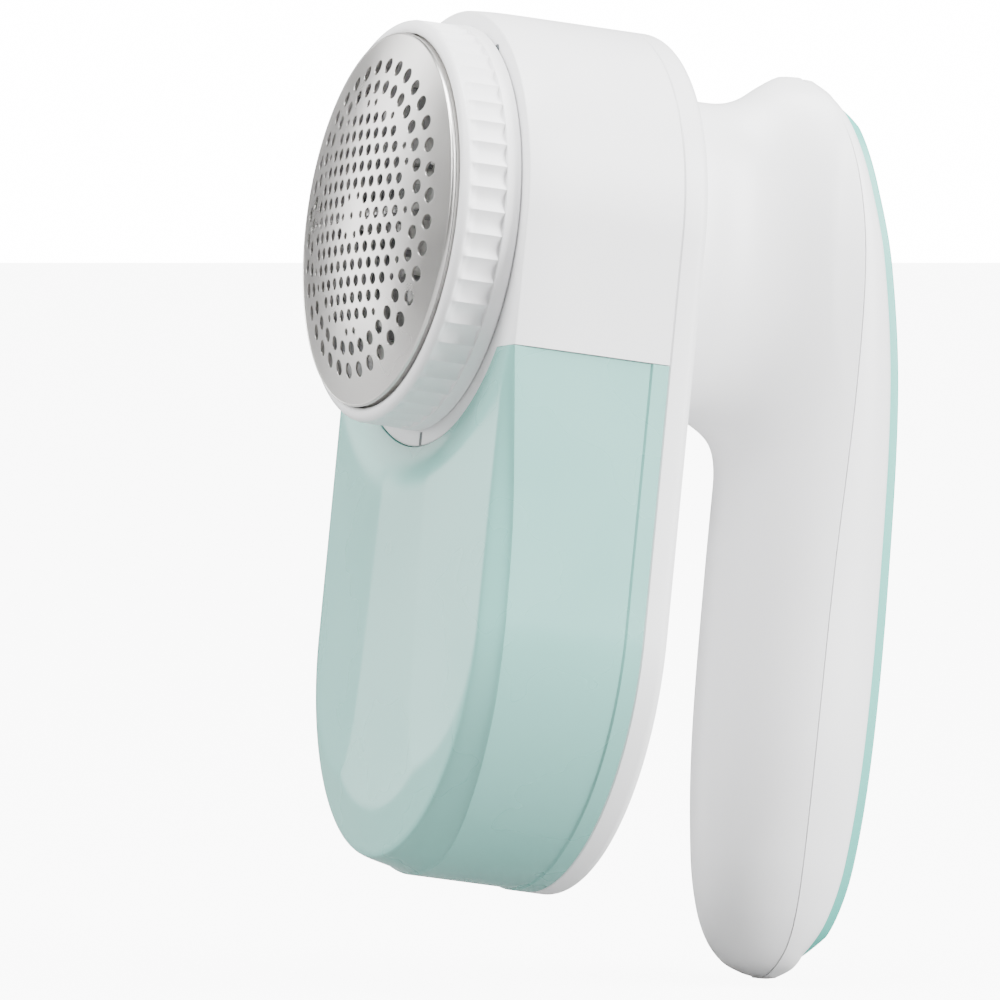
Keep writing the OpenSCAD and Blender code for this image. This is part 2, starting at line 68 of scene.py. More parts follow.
axis_h = (ring_low[2] + ring_high[2]) / 2
head_r = frame_high[0]
ring_r = ring_high[0]
ring_front = -ring_low[1]
ring_back = -ring_high[1]
seam_y = -catcher_high[1]
mouth = catcher_high[2] - axis_h
tip = front_low[2]


# ---------- profiles of the handle, in millimetres ----------
# Each pair is a height and a value there. FRONT, PART and BACK are places along y of the handle's
# front, of the joint between its shells and of its back. HALF and STRIP are half widths.
# The neck's pairs start from a place along y.

FRONT = [[0.3, 31.6], [2, 28.4], [5, 25.7], [10, 23.7], [18, 22.3], [35, 21.2], [60, 20.8],
         [90, 20.9], [110, 20.9], [122, 20.6], [130, 20.3], [135, 20.8], [137.6, 22.8]]
PART = [[0.3, 34.3], [2, 34.4], [5, 34.7], [10, 34.5], [18, 33.9], [35, 33.0], [60, 32.8],
        [90, 33.3], [110, 33.0], [122, 31.9], [130, 30.2], [135, 27.8], [137.6, 25.8]]
BACK = [[0.3, 36.8], [2, 39.0], [5, 41.0], [10, 42.8], [18, 44.1], [35, 44.9], [60, 44.7],
        [90, 43.3], [110, 40.3], [122, 37.1], [130, 34.3], [135, 31.5], [137.6, 28.6]]
HALF = [[0.3, 2.8], [2, 6.2], [5, 8.9], [10, 11.5], [18, 13.9], [35, 16.6], [60, 17.5],
        [90, 18.2], [110, 17.6], [122, 15.2], [130, 11.8], [135, 8], [137.6, 3.6]]
STRIP = [[4, 3.4], [8, 7.2], [16, 10.4], [30, 12.6], [50, 13.7], [90, 14.2], [110, 13.8],
         [120, 12.4], [127, 10.6], [132, 8], [135, 4.6]]
NECK_HALF = [[0, 17], [1.2, 15.2], [3.5, 13.7], [8, 13], [13, 13], [17, 12.8], [24, 12.4]]
NECK_LOW = [[0, 79.5], [1.2, 81.5], [3.5, 83.1], [8, 83.8], [13, 83.4], [17, 82.6], [24, 82]]
NECK_HIGH = [[0, 135.2], [1.2, 133.9], [3.5, 132.9], [8, 132.3], [13, 132.3], [17, 132.4],
             [24, 132.4]]
STRIP_EDGE = 1.2    # depth of the strip's side below the back
STRIP_CROWN = 1.6   # rise of the strip's middle over its sides, where it is full width
STRIP_FULL = 14     # half width at which the crown is full
SQUARENESS = 2.1    # power of the squared oval of the grip
CREASE = 3.0        # how far behind the joint the front shell's oval has its centre
SHELL_WALL = 1.8
NECK_BLEND = 9.0    # radius of the hollow where neck and grip run together
TIP_BLEND = 1.6


def curve(at, profile):
    """Smooth curve through [place, value] pairs, flat beyond both ends."""
    place, value = np.array(profile, float).T
    at = np.asarray(at, float)
    i = np.clip(np.searchsorted(place, at, side="right") - 1, 0, len(place) - 2)
    order = np.arange(len(place))
    before, after = np.maximum(order - 1, 0), np.minimum(order + 1, len(place) - 1)
    slope = (value[after] - value[before]) / (place[after] - place[before])
    h = place[i + 1] - place[i]
    t = np.clip((at - place[i]) / h, 0, 1)
    t2, t3 = t * t, t * t * t
    return ((2 * t3 - 3 * t2 + 1) * value[i] + (t3 - 2 * t2 + t) * h * slope[i]
            + (3 * t2 - 2 * t3) * value[i + 1] + (t3 - t2) * h * slope[i + 1])


# ---------- mesh building ----------

def finished(obj, sharp=35):
    """Applies the modifiers, welds the mesh and shades it smooth up to a sharp angle."""
    graph = bpy.context.evaluated_depsgraph_get()
    mesh = bpy.data.meshes.new_from_object(obj.evaluated_get(graph))
    obj.modifiers.clear()
    obj.data = mesh
    work = bmesh.new()
    work.from_mesh(mesh)
    bmesh.ops.remove_doubles(work, verts=work.verts, dist=1e-6)
    loose = [v for v in work.verts if not v.link_faces]
    bmesh.ops.delete(work, geom=loose, context="VERTS")
    work.to_mesh(mesh)
    work.free()
    mesh.polygons.foreach_set("use_smooth", [True] * len(mesh.polygons))
    mesh.set_sharp_from_angle(angle=math.radians(sharp))
    return obj


def mesh_object(name, points, faces):
    """Object from points in millimetres, with its faces turned outwards."""
    mesh = bpy.data.meshes.new(name)
    mesh.from_pydata([tuple(p) for p in np.asarray(points, float) * MM], [], [tuple(f) for f in faces])
    work = bmesh.new()
    work.from_mesh(mesh)
    bmesh.ops.remove_doubles(work, verts=work.verts, dist=2e-6)
    bmesh.ops.dissolve_degenerate(work, edges=work.edges, dist=1e-7)
    bmesh.ops.recalc_face_normals(work, faces=work.faces)
    work.to_mesh(mesh)
    work.free()
    obj = bpy.data.objects.new(name, mesh)
    bpy.context.scene.collection.objects.link(obj)
    return obj


def grid_faces(rows, columns, closed=False, flip=False):
    """Quads between rows of points laid out one after another."""
    faces = []
    for r in range(rows - 1):
        for c in range(columns if closed else columns - 1):
            d = (c + 1) % columns
            quad = [r * columns + c, r * columns + d, (r + 1) * columns + d, (r + 1) * columns + c]
            faces.append(quad[::-1] if flip else quad)
    return faces


def loft(name, rings, capped=True):
    """Surface through closed rings of points, with flat caps at its ends."""
    rings = np.asarray(rings, float)
    rows, columns = rings.shape[:2]
    faces = grid_faces(rows, columns, closed=True)
    if capped:
        faces += [list(range(columns))[::-1], [(rows - 1) * columns + c for c in range(columns)]]
    return mesh_object(name, rings.reshape(-1, 3), faces)


def lathe(name, profile, steps=360, radius_at=None):
    """Solid turned round the head's axis from (radius, forward) pairs; radius_at shapes it by angle."""
    angle = np.linspace(0, 2 * np.pi, steps, endpoint=False)
    points = []
    for radius, forward in profile:
        r = radius + (radius_at(radius, forward, angle) if radius_at else 0 * angle)
        points.append(np.stack([r * np.cos(angle), np.full(steps, -forward),
                                axis_h + r * np.sin(angle)], 1))
    closed = points + [points[0]]
    return mesh_object(name, np.concatenate(closed), grid_faces(len(closed), steps, closed=True))


def block(low, high, radius=0.0, along=1):
    """Box between two corners, its edges along one axis rounded, for cutting."""
    low, high = np.array(low, float), np.array(high, float)
    work = bmesh.new()
    bmesh.ops.create_cube(work, size=1)
    bmesh.ops.scale(work, vec=Vector(high - low), verts=work.verts)
    bmesh.ops.translate(work, vec=Vector((low + high) / 2), verts=work.verts)
    if radius:
        edges = [e for e in work.edges if abs((e.verts[0].co - e.verts[1].co)[along]) > 1e-6]
        bmesh.ops.bevel(work, geom=edges, offset=radius, segments=8, profile=0.5, affect="EDGES")
    bmesh.ops.scale(work, vec=Vector((MM, MM, MM)), verts=work.verts)
    return cutter(work)


def rod(centre, radius, start, end, steps=64):
    """Cylinder along y at (x, height) in millimetres, for cutting."""
    work = bmesh.new()
    turned = Matrix.Rotation(math.pi / 2, 4, "X")
    placed = Matrix.Translation(Vector((centre[0], (start + end) / 2, centre[1])) * MM) @ turned
    bmesh.ops.create_cone(work, cap_ends=True, segments=steps, radius1=radius * MM, radius2=radius * MM,
                          depth=(end - start) * MM, matrix=placed)
    return cutter(work)


def cutter(work):
    """Object from an edited mesh, for cutting."""
    mesh = bpy.data.meshes.new("cutter")
    work.to_mesh(mesh)
    work.free()
    obj = bpy.data.objects.new("cutter", mesh)
    bpy.context.scene.collection.objects.link(obj)
    return obj


def cut(obj, *cutters):
    """Takes the cutters out of an object and removes them."""
    for tool in cutters:
        modifier = obj.modifiers.new("cut", "BOOLEAN")
        modifier.object, modifier.operation, modifier.solver = tool, "DIFFERENCE", "EXACT"
    graph = bpy.context.evaluated_depsgraph_get()
    obj.data = bpy.data.meshes.new_from_object(obj.evaluated_get(graph))
    obj.modifiers.clear()
    for tool in cutters:
        bpy.data.objects.remove(tool)
    return obj


def thicken(obj, thickness):
    """Gives a surface a wall on its inner side."""
    modifier = obj.modifiers.new("wall", "SOLIDIFY")
    modifier.thickness, modifier.offset, modifier.use_even_offset = thickness * MM, -1, False
    return obj


# ---------- handle front shell and neck, blended as one moulding ----------

def oval_distance(a, b, half_a, half_b):
    """Distance to a squared oval, exact near its outline."""
    u, v = np.abs(a) / half_a, np.abs(b) / half_b
    s = u ** SQUARENESS + v ** SQUARENESS + 1e-12
    steep = s ** (1 / SQUARENESS - 1) * np.hypot(u ** (SQUARENESS - 1) / half_a,
                                                 v ** (SQUARENESS - 1) / half_b)
    return (s ** (1 / SQUARENESS) - 1) / np.maximum(steep, 1e-6)


def blended(a, b, width):
    """Smooth union of two distances."""
    h = np.clip(0.5 + 0.5 * (b - a) / width, 0, 1)
    return b + (a - b) * h - width * h * (1 - h)


def handle_distance(x, y, z):
    """Distance to the skin of the grip and the neck, blended into each other."""
    half, middle, front = curve(z, HALF), curve(z, PART), curve(z, FRONT)
    grip = oval_distance(x, y - middle - CREASE, half * 1.012, middle + CREASE - front)
    ends = np.maximum(FRONT[0][0] - z, z - FRONT[-1][0])
    grip = -blended(-grip, -ends, TIP_BLEND)
    low, high = curve(y, NECK_LOW), curve(y, NECK_HIGH)
    neck = oval_distance(x, z - (low + high) / 2, curve(y, NECK_HALF), (high - low) / 2)
    neck = np.maximum(neck, y - NECK_HALF[-1][0])
    return blended(grip, neck, NECK_BLEND)


def surface_of(field, low, high, step):
    """Closed quad mesh where a field changes sign, on a regular grid, drawn on to the surface."""
    axes = [np.arange(a, b + step, step) for a, b in zip(low, high)]
    values = field(*np.meshgrid(*axes, indexing="ij"))
    cells = tuple(n - 1 for n in values.shape)
    total, count = np.zeros(cells + (3,)), np.zeros(cells)
    corner = lambda i, j, k: values[i:i + cells[0], j:j + cells[1], k:k + cells[2]]
    for axis in range(3):
        for s in (0, 1):
            for t in (0, 1):
                start = [s, t]
                start.insert(axis, 0)
                end = list(start)
                end[axis] = 1
                a, b = corner(*start), corner(*end)
                crossed = (a < 0) != (b < 0)
                where = np.where(crossed, a / np.where(crossed, a - b, 1), 0)
                for d in range(3):
                    total[..., d] += crossed * (start[d] + (where if d == axis else 0))
                count += crossed
    used = count > 0
    index = np.full(cells, -1)
    index[used] = np.arange(used.sum())
    places = np.stack(np.nonzero(used), 1) + total[used] / count[used][:, None]
    points = np.array(low) + places * step
    faces = []
    for axis in range(3):
        others = [d for d in range(3) if d != axis]
        inner = [slice(1, n) for n in cells]
        inner[axis] = slice(0, cells[axis])
        ahead = list(inner)
        ahead[axis] = slice(1, cells[axis] + 1)
        a, b = values[tuple(inner)], values[tuple(ahead)]
        for crossed, turn in (((a < 0) & (b >= 0), 1), ((a >= 0) & (b < 0), -1)):
            base = np.stack(np.nonzero(crossed), 1)
            base[:, others] += 1
            quad = []
            for s, t in ((0, 0), (1, 0), (1, 1), (0, 1)):
                cell = base.copy()
                cell[:, others[0]] -= s
                cell[:, others[1]] -= t
                quad.append(index[tuple(cell.T)])
            faces.append(np.stack(quad[::turn], 1))
    for _ in range(4):
        here = field(*points.T)
        slope = np.stack([(field(*(points + d).T) - field(*(points - d).T)) / 0.02
                          for d in np.eye(3) * 0.01], 1)
        points = points - (here / np.maximum((slope ** 2).sum(1), 1e-6))[:, None] * slope
    return points, np.concatenate(faces)


def handle_shell():
    """Front shell of the handle and the neck, cut off at the joint and at the head's back."""
    step = 0.8
    points, faces = surface_of(handle_distance, (-20, -2, -1), (20, 44, 139), step)
    obj = mesh_object("handle_shell", points, faces)
    work = bmesh.new()
    work.from_mesh(obj.data)
    for v in work.verts:
        v.co.y -= float(curve(v.co.z / MM, PART)) * MM
    everything = work.verts[:] + work.edges[:] + work.faces[:]
    bmesh.ops.bisect_plane(work, geom=everything, dist=1e-6, plane_co=(0, -0.00005, 0), plane_no=(0, 1, 0),
                           clear_outer=True)
    for v in work.verts:
        v.co.y += float(curve(v.co.z / MM, PART)) * MM
    everything = work.verts[:] + work.edges[:] + work.faces[:]
    bmesh.ops.bisect_plane(work, geom=everything, dist=1e-6, plane_co=(0, 0.00005, 0), plane_no=(0, 1, 0),
                           clear_inner=True)
    bmesh.ops.remove_doubles(work, verts=work.verts, dist=4e-5)
    work.to_mesh(obj.data)
    work.free()
    return finished(thicken(obj, SHELL_WALL), 40)


# ---------- rear shell of the handle and the battery cover ----------

def strip_base(z):
    """Place along y of the sides of the ledge that the strip lies on."""
    return curve(z, BACK) - STRIP_EDGE - STRIP_CROWN * (curve(z, STRIP) / STRIP_FULL) ** 2


def crown(z, x):
    """Rise of the strip or its ledge over its sides."""
    width = curve(z, STRIP)
    return STRIP_CROWN * np.maximum(1 - (x / width) ** 2, 0) * (width / STRIP_FULL) ** 2


def heights(low, high, count):
    """Heights packed closer together towards both ends."""
    t = np.linspace(0, 1, count)
    return low + (high - low) * (t - np.sin(2 * np.pi * t) / (2.6 * np.pi))


def handle_rear():
    """Rear shell of the handle, with a battery opening, a switch window and seats for its screws."""
    rows = []
    stations = heights(front_low[2], front_high[2], 150)
    for z in stations:
        half, middle = float(curve(z, HALF)), float(curve(z, PART)) + 0.05
        ease = min(max((z - STRIP[0][0] + 3) / 3, 0), 1) * min(max((STRIP[-1][0] + 2 - z) / 2, 0), 1)
        inner = min(half * 0.86, half * 0.45 * (1 - ease) + float(curve(z, STRIP)) * ease)
        top = (float(curve(z, BACK)) - 0.5) * (1 - ease) + float(strip_base(z)) * ease
        a = np.linspace(0, np.pi / 2, 16)
        flank_x = inner + (half - inner) * np.cos(a) ** 0.95
        flank_y = middle + (top - middle) * np.sin(a) ** 0.95
        land_x = np.linspace(inner, -inner, 15)[1:-1]
        land_y = top + crown(np.clip(z, STRIP[0][0], STRIP[-1][0]), land_x) * ease
        x = np.concatenate([flank_x, land_x, -flank_x[::-1]])
        y = np.concatenate([flank_y, land_y, flank_y[::-1]])
        rows.append(np.stack([x, y, np.full(len(x), z)], 1))
    rows = np.array(rows)
    count = rows.shape[1]
    faces = grid_faces(len(rows), count)
    faces += [list(range(count)), [(len(rows) - 1) * count + c for c in range(count)]]
    obj = mesh_object("handle_rear", rows.reshape(-1, 3), faces)
    thicken(obj, SHELL_WALL)
    window = [block((-12.6, 38, 32.5), (12.6, 50, 90.5), 3),
              block((-3.5, 36, knob_low[2] - 0.3), (3.5, 50, knob_high[2] + 7.3), 1)]
    seats = [rod(at, 2.35, start, start + 16) for at, start in
             (((0, 24), 36.6), ((0, 127), 29.8), ((-9.4, 94), 34.6), ((9.4, 94), 34.6))]
    return finished(cut(finished(obj, 40), *window, *seats), 35)


def cover_strip():
    """Crowned strip with an upright side face and a softened edge, and a window for the power switch."""
    rows = []
    soft, edge_h, flatter = 0.4, 1.6, 0.62
    for z in heights(STRIP[0][0], STRIP[-1][0] - 1, 140):
        width, base = float(curve(z, STRIP)), float(strip_base(z)) + 0.1
        height = min(edge_h, 0.5 + 0.35 * min(z - STRIP[0][0], STRIP[-1][0] - 1 - z))
        top = base + height
        a = np.linspace(0, np.pi / 2, 6)
        across = np.linspace(-width + soft, width - soft, 21)[1:-1]
        under = np.linspace(width, -width, 21)
        turn_x, turn_y = -width + soft - soft * np.cos(a), top - soft + soft * np.sin(a)
        x = np.concatenate([turn_x, across, -turn_x[::-1], under])
        y = np.concatenate([turn_y, top + flatter * crown(z, across), turn_y[::-1],
                            base + crown(z, under)])
        rows.append(np.stack([x, y, np.full(len(x), z)], 1))
    obj = loft("cover_strip", rows)
    window = block((-3.65, 30, knob_low[2] - 0.75), (3.65, 50, knob_high[2] + 7.75), 1)
    return finished(cut(obj, window), 30)


# ---------- head ----------

def outline(inset, count=160, straight=48, top=None):
    """Outline of the catcher round from one corner of its mouth, as x and height from the axis."""
    round_y = ROUND - DROP
    top = mouth if top is None else top
    a = np.linspace(np.pi, 2 * np.pi, count)
    side = np.linspace(top, round_y, straight)[:-1]
    x = np.concatenate([np.full(len(side), -(head_r - inset)), (head_r - inset) * np.cos(a),
                        np.full(len(side), head_r - inset)])
    y = np.concatenate([side, round_y + (ROUND - inset) * np.sin(a), side[::-1]])
    return x, y


DROP = axis_h - frame_low[2]
MOUTH = mouth + 0.1    # lower edge of the front shell, just clear of the catcher
FACE = 30.0            # forward place of the boss's face
RIM = FACE + 10.6
ROUND = 37.7           # half height of the round bottom of the head
# height and forward place where the side starts to turn
SHOULDER = [[8, 24.3], [20, 26.2], [38, 27.4], [60, 28.0], [76, 29.4], [88, 30.6]]
# height and half width of the flat middle facet
FACET = [[12, 26], [17, 20], [26, 13], [35, 10.7], [72, 8.5], [90, 8]]
EDGE_IN = 2.4          # inset of the catcher's front edge
EDGE_Y = 30.7          # forward place of that edge
FACE_Y = 31.95         # forward place of the middle facet
BAND_IN = 0.28         # step from the rear band to the side
CATCHER_WALL = 1.7
FRAME_ROUND = 1.6
HOUSING_WALL = 2
SCREW_X, SCREW_Z = 25, 12
BORE_R = 1.2
SEAT_R = 2.3
COLLAR_IN, COLLAR_OUT = 27, 29.3
LABEL_HALF, LABEL_LOW, LABEL_HIGH, LABEL_DEPTH = 17, -80, -40, 0.4


def dished(x, height, depth):
    """Depth of the catcher's face, eased down to the boss over a few millimetres round it."""
    away = np.clip((np.hypot(x, height) - head_r - 1) / 6, 0, 1)
    level = FACE + 0.15
    return np.where(depth > level, level + (depth - level) * away * away * (3 - 2 * away), depth)


def catcher_shell():
    """Open shell of the lint catcher: rear band, side, turned shoulder and faceted face."""
    rows = []
    y = outline(0)[1]
    start = curve(y + axis_h, SHOULDER)
    for inset, forward in [(0, seam_y), (0, 5.6), (0, 7.1), (BAND_IN, 7.4),
                           (BAND_IN, 11), (BAND_IN, 16), (BAND_IN, 21)]:
        px, py = outline(inset)
        rows.append(np.stack([px, np.full(len(px), -forward), py + axis_h], 1))
    for t in np.linspace(0, 1, 16):
        inset = BAND_IN + (EDGE_IN - BAND_IN) * t
        px, py = outline(inset)
        lift = t * t * (3 - 2 * t)
        depth = (start - 0.6) + (EDGE_Y - start + 0.6) * lift
        rows.append(np.stack([px, -dished(px, py, depth), py + axis_h], 1))
    for inset in np.linspace(EDGE_IN, head_r, 44)[1:]:
        px, py = outline(min(inset, head_r))
        half = curve(py + axis_h, FACET)
        across = np.clip((head_r - EDGE_IN - np.abs(px)) / (head_r - EDGE_IN - half), 0, 1)
        rise = np.minimum(across, np.clip((inset - EDGE_IN) / 7, 0, 1))
        depth = EDGE_Y + (FACE_Y - EDGE_Y) * rise
        rows.append(np.stack([px, -dished(px, py, depth), py + axis_h], 1))
    rows = np.array(rows)
    obj = mesh_object("catcher_shell", rows.reshape(-1, 3), grid_faces(len(rows), rows.shape[1]))
    thicken(obj, CATCHER_WALL)
    finished(obj, 40)
    return finished(cut(obj, rod((0, axis_h), head_r - 0.2, -40, -26.6, 240)), 40)


def head_outline(inset, count=120):
    """Closed outline of the head, as x and height from the axis."""
    a = np.linspace(0, np.pi, count)
    round_y = ROUND - DROP
    b = np.linspace(np.pi, 2 * np.pi, count)
    side = np.linspace(0, round_y, 20)[1:-1]
    x = np.concatenate([(head_r - inset) * np.cos(a), np.full(18, inset - head_r),
                        (head_r - inset) * np.cos(b), np.full(18, head_r - inset)])
    y = np.concatenate([(head_r - inset) * np.sin(a), side,
                        round_y + (ROUND - inset) * np.sin(b), side[::-1]])
    return x, y


def frame_tray():
    """Rear tray of the head: rounded rear edge, inner lip, four screw seats and a label recess."""
    radius = FRAME_ROUND
    rings = []

    def ring(inset, forward):
        x, y = head_outline(inset)
        rings.append(np.stack([x, np.full(len(x), -forward), y + axis_h], 1))

    for inset in (3.7, 2.2):
        ring(inset, 8.2)
    ring(2.15, 8.0)
    ring(2.15, 4.4)
    ring(0.25, 4.4)
    ring(0, 4.15)
    for a in np.linspace(0, np.pi / 2, 9):
        ring(radius * (1 - math.cos(a)), radius * (1 - math.sin(a)))
    outer = loft("frame_tray", rings[::-1])
    inner_rings = []
    for forward in (2, 12):
        x, y = head_outline(3.7)
        inner_rings.append(np.stack([x, np.full(len(x), -forward), y + axis_h], 1))
    inner = loft("cutter", inner_rings)
    holes = [rod((0, axis_h), 10.8, -4, 2, 96)]
    for x in (-SCREW_X, SCREW_X):
        for z in (-SCREW_Z, SCREW_Z):
            holes += [rod((x, axis_h + z), SEAT_R, -1.5, 2, 48),
                      rod((x, axis_h + z), BORE_R, -4, 2, 32)]
    holes.append(block((-LABEL_HALF, -LABEL_DEPTH, axis_h + LABEL_LOW),
                       (LABEL_HALF, 1, axis_h + LABEL_HIGH), 1.5))
    return finished(cut(outer, inner, *holes), 30)


def housing_ring(inset, forward, count=120):
    """Outline of the head's front shell: round above the axis, straight down to the catcher's mouth."""
    a = np.linspace(0, np.pi, count)
    r = head_r - inset
    side = np.linspace(0, MOUTH, 14)[1:]
    x = np.concatenate([r * np.cos(a), np.full(len(side), -r), np.linspace(-r, r, 30)[1:-1],
                        np.full(len(side), r)])
    y = np.concatenate([r * np.sin(a), side, np.full(28, MOUTH), side[::-1]])
    return np.stack([x, np.full(len(x), -forward), y + axis_h], 1)


def shoulder(radius=0.3, start=20.0, ease=0.3):
    """Pairs of inset and forward place: the slow taper of the head's front edge and its rounded corner."""
    front = FACE
    pairs = [(0, seam_y), (0, start)]
    for t in np.linspace(0, 1, 10)[1:]:
        pairs.append((ease * t ** 3.5, start + (front - radius - start) * t))
    for a in np.linspace(0, np.pi / 2, 7)[1:]:
        pairs.append((ease + radius * (1 - math.cos(a)), front - radius + radius * math.sin(a)))
    return pairs


def housing_shell():
    """Front shell of the head with its round boss, open at the back and bored for the collar."""
    wall = HOUSING_WALL
    body = loft("housing_shell", [housing_ring(i, f) for i, f in shoulder()])
    boss_profile = [(0, FACE - 3)] + [(head_r - i, f) for i, f in shoulder() if f > FACE - 3] + [(0, FACE)]
    boss_profile.insert(1, (head_r - 0.5, FACE - 3))
    boss = lathe("boss", boss_profile, 240)
    joined = body.modifiers.new("join", "BOOLEAN")
    joined.object, joined.operation, joined.solver = boss, "UNION", "EXACT"
    finished(body, 35)
    bpy.data.objects.remove(boss)
    cavity = loft("cutter", [housing_ring(wall, f) for f in (seam_y - 1, FACE - 3)])
    below = block((-head_r + wall + 0.01, -FACE + 3, axis_h + MOUTH - 1),
                  (head_r - wall - 0.01, -seam_y + 1, axis_h + MOUTH + 0.5))
    angle = math.radians(60)
    pin = rod((30.55 * math.cos(angle), axis_h + 30.55 * math.sin(angle)), 0.9, -32, -26, 32)
    mark = block((-0.5, -31, axis_h - head_r + 0.4),
                 (0.5, -FACE + 0.4, axis_h - head_r + 2.5))
    bore = rod((0, axis_h), COLLAR_OUT, -32, -26, 240)
    return finished(cut(body, cavity, below, bore, pin, mark), 35)


def chamber_collar():
    """Collar round the cutter chamber, with a gate at the bottom that lets lint into the catcher."""
    start, end, chamfer = 20.6, 36.1, 0.3
    profile = [(COLLAR_IN, start), (COLLAR_OUT, start), (COLLAR_OUT, end - chamfer),
               (COLLAR_OUT - chamfer, end), (COLLAR_IN + chamfer, end), (COLLAR_IN, end - chamfer)]
    collar = lathe("chamber_collar", profile, 240)
    gate = block((-15.2, -27, axis_h - 35), (15.2, -19, axis_h - 21), 0)
    return finished(cut(collar, gate), 35)


def screw_posts():
    """Four bored posts behind the front wall that take the head's screws."""
    parts = []
    for x in (-SCREW_X, SCREW_X):
        for z in (-SCREW_Z, SCREW_Z):
            post = rod((x, axis_h + z), SEAT_R, -27.02, -8.5, 48)
            parts.append(cut(post, rod((x, axis_h + z), BORE_R, -15.3, -7, 32)))
    work = bmesh.new()
    for part in parts:
        work.from_mesh(part.data)
        bpy.data.objects.remove(part)
    obj = cutter(work)
    obj.name = "screw_posts"
    return finished(obj, 35)


def foil_bead():
    """Rolled steel edge round the foil's rim."""
    r, top = foil_high[0] - 1.1, RIM
    bead = 0.42
    profile = [(r + 0.02 + bead * 0.5 * math.sin(a), top - 0.32 + bead * math.cos(a))
               for a in np.linspace(0, np.pi, 9)]
    profile += [(r - 0.1, top - 1.0), (r - 0.1, top + 0.02)]
    return finished(lathe("foil_bead", profile, 360), 50)


def fluted_ring():
    """Ring round the foil: smooth rear band, fluted grip and rolled front lip."""
    count = 54
    flute_depth = 0.65
    foil_r = 28.5
    band = ring_back + 2.3
    flute_end = ring_front - 1.5

    def flute(radius, forward, angle):
        if radius < ring_r - 0.2 or not band + 0.02 < forward < flute_end + 0.9:
            return 0 * angle
        place = (angle * count / (2 * np.pi)) % 1 - 0.5
        ease = min(1, max(0, (flute_end + 0.5 - forward) / 0.9))
        return -flute_depth * (1 - (2 * place) ** 2) * ease

    profile = [(29.9, ring_back), (ring_r - 0.2, ring_back), (ring_r, ring_back + 0.2),
               (ring_r, band - 0.15), (ring_r - 0.05, band), (ring_r - 0.1, band + 0.05)]
    profile += [(ring_r - 0.1, f) for f in np.linspace(band + 0.3, flute_end, 10)]
    lip = 1.5
    for a in np.linspace(0.05, np.pi / 2, 10):
        profile.append((ring_r - 0.15 - lip * (1 - math.cos(a)), ring_front - lip + lip * math.sin(a)))
    profile += [(foil_r + 0.75, ring_front), (foil_r + 0.4, ring_front - 0.15),
                (foil_r + 0.3, ring_front - 0.5), (foil_r + 0.3, ring_front - 1.6),
                (29.9, ring_front - 1.6)]
    return finished(lathe("fluted_ring", profile, count * 16, flute), 38)


# ---------- materials ----------

def colour(code):
    """sRGB hex to the linear values that the shaders use."""
    parts = [int(code[i:i + 2], 16) / 255 for i in (1, 3, 5)]
    return tuple(p / 12.92 if p <= 0.04045 else ((p + 0.055) / 1.055) ** 2.4 for p in parts) + (1.0,)


def add(tree, kind, settings=()):
    """Adds a shader node, sets or links its inputs and properties, and returns the node."""
    n = tree.nodes.new("ShaderNode" + kind)
    for key, value in dict(settings).items():
        target = n.inputs[key] if isinstance(key, int) or key in n.inputs else None
        if target is None:
            setattr(n, key, value)
        elif isinstance(value, bpy.types.NodeSocket):
            tree.links.new(value, target)
        else:
            target.default_value = value
    return n


def material(name, base, rough, spread=0.04, grain=0.5, depth=0.01, edge=0.25, shade=0.03, **extra):
    """Moulded or metal finish: grain and cloud sizes are in millimetres, depth is the bump's height."""
    m = bpy.data.materials.new(name)
    m.use_nodes = True
    tree = m.node_tree
    tree.nodes.clear()
    place = add(tree, "TexCoord").outputs["Object"]
    fine = add(tree, "TexNoise", {"Vector": place, "Scale": 1000 / grain, "Detail": 3.0}).outputs["Fac"]
    cloud = add(tree, "TexNoise", {"Vector": place, "Scale": 1000 / 18, "Detail": 2.0}).outputs["Fac"]
    roughness = add(tree, "MapRange", {"Value": cloud, "From Min": 0.3, "From Max": 0.7,
                                       "To Min": rough - spread, "To Max": rough + spread}).outputs["Result"]
    tone = add(tree, "MapRange", {"Value": cloud, "From Min": 0.3, "From Max": 0.7,
                                  "To Min": 1 - shade, "To Max": 1.0}).outputs["Result"]
    tint = add(tree, "VectorMath", {"operation": "SCALE", "Vector": colour(base)[:3], "Scale": tone})
    rounded = add(tree, "Bevel", {"Radius": edge * MM, "samples": 4}).outputs["Normal"]
    bump = add(tree, "Bump", {"Height": fine, "Distance": depth * MM, "Strength": 1.0, "Normal": rounded})
    settings = {"Base Color": tint.outputs["Vector"], "Roughness": roughness,
                "Normal": bump.outputs["Normal"]}
    settings.update(extra)
    shader = add(tree, "BsdfPrincipled", settings).outputs["BSDF"]
    add(tree, "OutputMaterial", {"Surface": shader})
    return m


